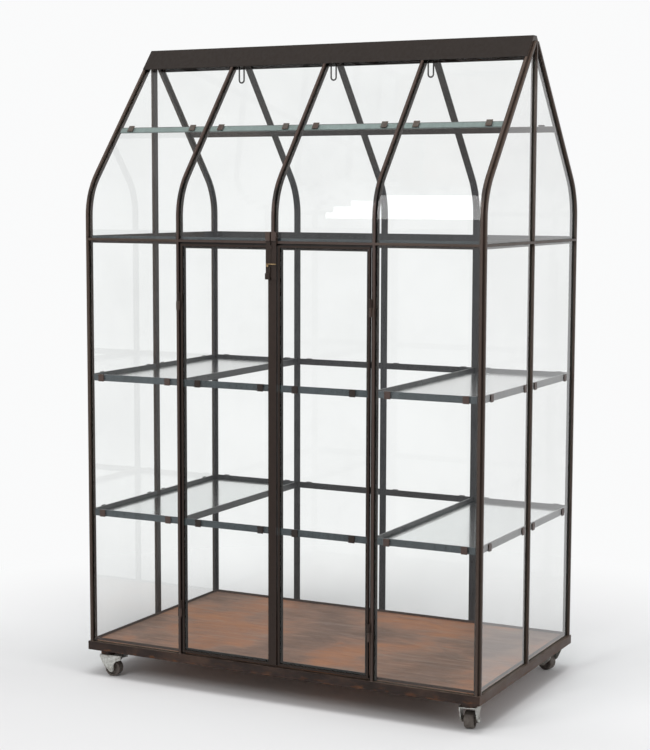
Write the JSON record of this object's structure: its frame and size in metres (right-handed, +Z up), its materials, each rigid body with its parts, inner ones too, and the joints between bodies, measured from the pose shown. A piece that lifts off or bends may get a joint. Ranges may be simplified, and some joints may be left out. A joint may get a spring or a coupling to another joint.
{
  "type": "greenhouse display cabinet",
  "caption": "Glazed greenhouse-shaped display cabinet on castors: bent steel hoops, double doors, glass shelves and a rusty floor tray.",
  "frame": {"origin": "on the floor under the middle of the cabinet's outer size", "axes": "+Z up, -Y towards the doors, +X to the right of someone who faces the doors"},
  "size_m": [1.312, 0.7828, 1.9541],
  "materials": {
    "blackened_steel": "dark brown-black waxed steel, satin",
    "brown_steel": "dark brown waxed steel with rust patches",
    "rusted_sheet": "rusted sheet steel in wavy brown and orange bands",
    "clear_glass": "clear float glass with slightly green edges",
    "zinc_steel": "zinc-plated pressed steel, speckled",
    "aged_brass": "dull aged brass",
    "black_plastic": "black moulded plastic",
    "wheel_tread": "dark brown-grey tread"
  },
  "bodies": {
    "cabinet": {"base_frame": "brown_steel", "floor_tray": "rusted_sheet", "left_end_frame": "blackened_steel", "left_door_hoop": "blackened_steel", "middle_frame": "blackened_steel", "right_door_hoop": "blackened_steel", "right_end_frame": "blackened_steel", "gable_post_left": "blackened_steel", "gable_post_right": "blackened_steel", "front_eave_rail": "blackened_steel", "ridge_cap": "brown_steel", "left_keeper": "blackened_steel", "right_keeper": "blackened_steel", "lower_left_shelf_frame": "blackened_steel", "lower_left_shelf_glass": "clear_glass", "lower_right_shelf_frame": "blackened_steel", "lower_right_shelf_glass": "clear_glass", "upper_left_shelf_frame": "blackened_steel", "upper_left_shelf_glass": "clear_glass", "upper_right_shelf_frame": "blackened_steel", "upper_right_shelf_glass": "clear_glass", "front_pane_left": "clear_glass", "front_pane_right": "clear_glass", "back_pane_1": "clear_glass", "back_pane_2": "clear_glass", "back_pane_3": "clear_glass", "back_pane_4": "clear_glass", "left_gable_pane_front": "clear_glass", "left_gable_head_front": "clear_glass", "left_gable_pane_back": "clear_glass", "left_gable_head_back": "clear_glass", "right_gable_pane_front": "clear_glass", "right_gable_head_front": "clear_glass", "right_gable_pane_back": "clear_glass", "right_gable_head_back": "clear_glass", "front_roof_pane_1": "clear_glass", "front_roof_pane_2": "clear_glass", "front_roof_pane_3": "clear_glass", "front_roof_pane_4": "clear_glass", "back_roof_pane_1": "clear_glass", "back_roof_pane_2": "clear_glass", "back_roof_pane_3": "clear_glass", "back_roof_pane_4": "clear_glass"},
    "left_door": {"left_door_frame": "blackened_steel", "left_door_pane": "clear_glass", "meeting_bar": "blackened_steel"},
    "right_door": {"right_door_frame": "blackened_steel", "right_door_pane": "clear_glass"},
    "bolt": {"latch_bolt": "blackened_steel", "latch_pin": "aged_brass"},
    "front_left_castor": {"front_left_fork": "zinc_steel"},
    "front_left_wheel_body": {"front_left_wheel": "wheel_tread"},
    "front_left_brake": {"front_left_pedal": "black_plastic"},
    "front_right_castor": {"front_right_fork": "zinc_steel"},
    "front_right_wheel_body": {"front_right_wheel": "wheel_tread"},
    "back_left_castor": {"back_left_fork": "zinc_steel"},
    "back_left_wheel_body": {"back_left_wheel": "wheel_tread"},
    "back_right_castor": {"back_right_fork": "zinc_steel"},
    "back_right_wheel_body": {"back_right_wheel": "wheel_tread"},
    "back_right_brake": {"back_right_pedal": "black_plastic"}
  },
  "joints": [
    {"name": "left_door_hinge", "type": "hinge", "parent": "cabinet", "child": "left_door", "pos_m": [-0.315, -0.3841, 0.719], "axis": [0, 0, -1], "range_deg": [0, 110]},
    {"name": "right_door_hinge", "type": "hinge", "parent": "cabinet", "child": "right_door", "pos_m": [0.315, -0.3841, 0.719], "axis": [0, 0, 1], "range_deg": [0, 110]},
    {"name": "latch_slide", "type": "slide", "parent": "left_door", "child": "bolt", "axis": [0, 0, 1], "range_m": [0, 0.018]},
    {"name": "front_left_swivel", "type": "hinge", "parent": "cabinet", "child": "front_left_castor", "pos_m": [-0.608, -0.3406, 0.075], "axis": [0, 0, 1], "continuous": true},
    {"name": "front_left_roll", "type": "hinge", "parent": "front_left_castor", "child": "front_left_wheel_body", "pos_m": [-0.58815, -0.33816, 0.0255], "axis": [-0.1219, 0.9925, 0], "continuous": true},
    {"name": "front_left_brake_tilt", "type": "hinge", "parent": "front_left_castor", "child": "front_left_brake", "pos_m": [-0.55113, -0.33362, 0.0665], "axis": [-0.1219, 0.9925, 0], "range_deg": [0, 12]},
    {"name": "front_right_swivel", "type": "hinge", "parent": "cabinet", "child": "front_right_castor", "pos_m": [0.608, -0.3406, 0.075], "axis": [0, 0, 1], "continuous": true},
    {"name": "front_right_roll", "type": "hinge", "parent": "front_right_castor", "child": "front_right_wheel_body", "pos_m": [0.60453, -0.3209, 0.0255], "axis": [-0.9848, -0.1736, 0], "continuous": true},
    {"name": "back_left_swivel", "type": "hinge", "parent": "cabinet", "child": "back_left_castor", "pos_m": [-0.608, 0.3514, 0.075], "axis": [0, 0, 1], "continuous": true},
    {"name": "back_left_roll", "type": "hinge", "parent": "back_left_castor", "child": "back_left_wheel_body", "pos_m": [-0.5884, 0.34741, 0.0255], "axis": [0.1994, 0.9799, 0], "continuous": true},
    {"name": "back_right_swivel", "type": "hinge", "parent": "cabinet", "child": "back_right_castor", "pos_m": [0.608, 0.3514, 0.075], "axis": [0, 0, 1], "continuous": true},
    {"name": "back_right_roll", "type": "hinge", "parent": "back_right_castor", "child": "back_right_wheel_body", "pos_m": [0.58868, 0.35658, 0.0255], "axis": [-0.2588, -0.9659, 0], "continuous": true},
    {"name": "back_right_brake_tilt", "type": "hinge", "parent": "back_right_castor", "child": "back_right_brake", "pos_m": [0.55265, 0.36623, 0.0665], "axis": [-0.2588, -0.9659, 0], "range_deg": [0, 12]}
  ]
}
